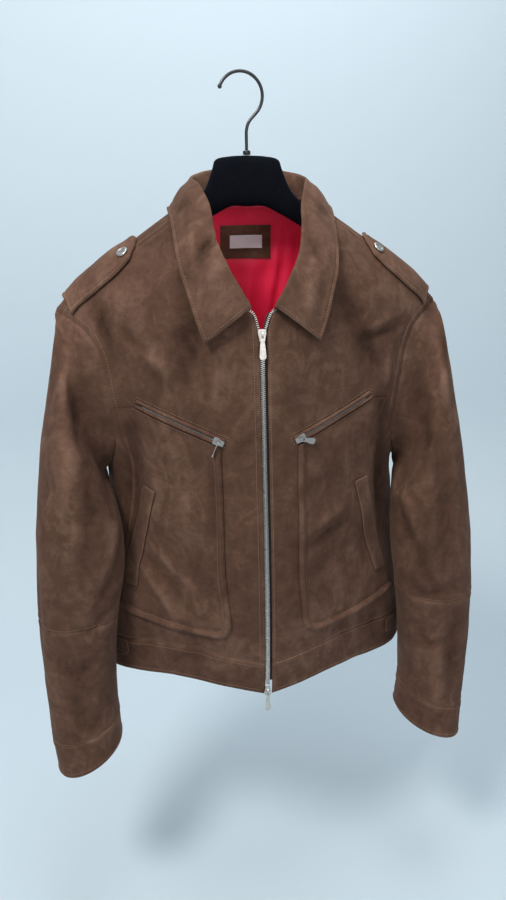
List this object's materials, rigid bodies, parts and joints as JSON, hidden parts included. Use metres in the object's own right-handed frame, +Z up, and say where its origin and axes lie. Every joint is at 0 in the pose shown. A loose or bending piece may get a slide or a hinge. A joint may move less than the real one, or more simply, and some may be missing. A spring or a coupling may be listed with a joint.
{
  "type": "suede jacket on hanger",
  "caption": "Suede blouson with a point collar, shoulder straps, patch pockets, zips and a hem band, hung on a velvet hanger.",
  "frame": {"origin": "inner top of the hanger's hook, where a rail or link carries it", "axes": "+Z up, front of the garment faces -Y, +X towards the wearer's left"},
  "size_m": [0.584, 0.211, 0.8656],
  "materials": {
    "suede": "brushed nap, matt",
    "lining": "smooth woven, slight sheen",
    "zip_metal": "bright satin",
    "zip_tape": "woven tape",
    "label": "satin label, bare",
    "velvet": "flocked velvet",
    "black_metal": "satin black"
  },
  "bodies": {
    "root": {"front_left": "suede", "front_right": "suede", "back": "suede", "hem_band_front_left": "suede", "hem_band_front_right": "suede", "hem_band_back": "suede", "sleeve_upper_left": "suede", "sleeve_lower_left": "suede", "cuff_left": "suede", "sleeve_upper_right": "suede", "sleeve_lower_right": "suede", "cuff_right": "suede", "collar": "suede", "shoulder_strap_left": "suede", "shoulder_strap_right": "suede", "patch_pocket_left": "suede", "patch_pocket_right": "suede", "chest_welt_upper_left": "suede", "chest_welt_upper_right": "suede", "chest_welt_lower_left": "suede", "chest_welt_lower_right": "suede", "hand_welt_left": "suede", "hand_welt_right": "suede", "side_tab_left": "suede", "side_tab_right": "suede", "label_patch": "suede", "lining_front_left": "lining", "lining_front_right": "lining", "lining_back": "lining", "zip_chain": "zip_metal", "chest_zip_chain_left": "zip_metal", "chest_zip_chain_right": "zip_metal", "slider_top": "zip_metal", "slider_bottom": "zip_metal", "slider_chest_left": "zip_metal", "slider_chest_right": "zip_metal", "snap_left": "zip_metal", "snap_right": "zip_metal", "zip_tape_left": "zip_tape", "zip_tape_right": "zip_tape", "label": "label", "hanger": "velvet", "hanger_ferrule": "black_metal", "hanger_hook": "black_metal"},
    "pull_top_body": {"pull_top": "zip_metal"},
    "pull_bottom_body": {"pull_bottom": "zip_metal"},
    "pull_chest_left_body": {"pull_chest_left": "zip_metal"},
    "pull_chest_right_body": {"pull_chest_right": "zip_metal"}
  },
  "joints": [
    {"name": "pull_top_hinge", "type": "hinge", "parent": "root", "child": "pull_top_body", "pos_m": [0.00651, -0.10776, -0.28089], "axis": [-0.9998, 0.0208, 0], "range_deg": [0, 150]},
    {"name": "pull_bottom_hinge", "type": "hinge", "parent": "root", "child": "pull_bottom_body", "pos_m": [0.00643, -0.11884, -0.73049], "axis": [-0.9992, 0.0407, 0], "range_deg": [0, 140]},
    {"name": "pull_chest_left_hinge", "type": "hinge", "parent": "root", "child": "pull_chest_left_body", "pos_m": [0.04973, -0.1117, -0.40041], "axis": [-0.2446, -0.0913, -0.9653], "range_deg": [0, 150]},
    {"name": "pull_chest_right_hinge", "type": "hinge", "parent": "root", "child": "pull_chest_right_body", "pos_m": [-0.04628, -0.10991, -0.40044], "axis": [-0.8827, 0.2495, 0.3983], "range_deg": [0, 120]}
  ]
}
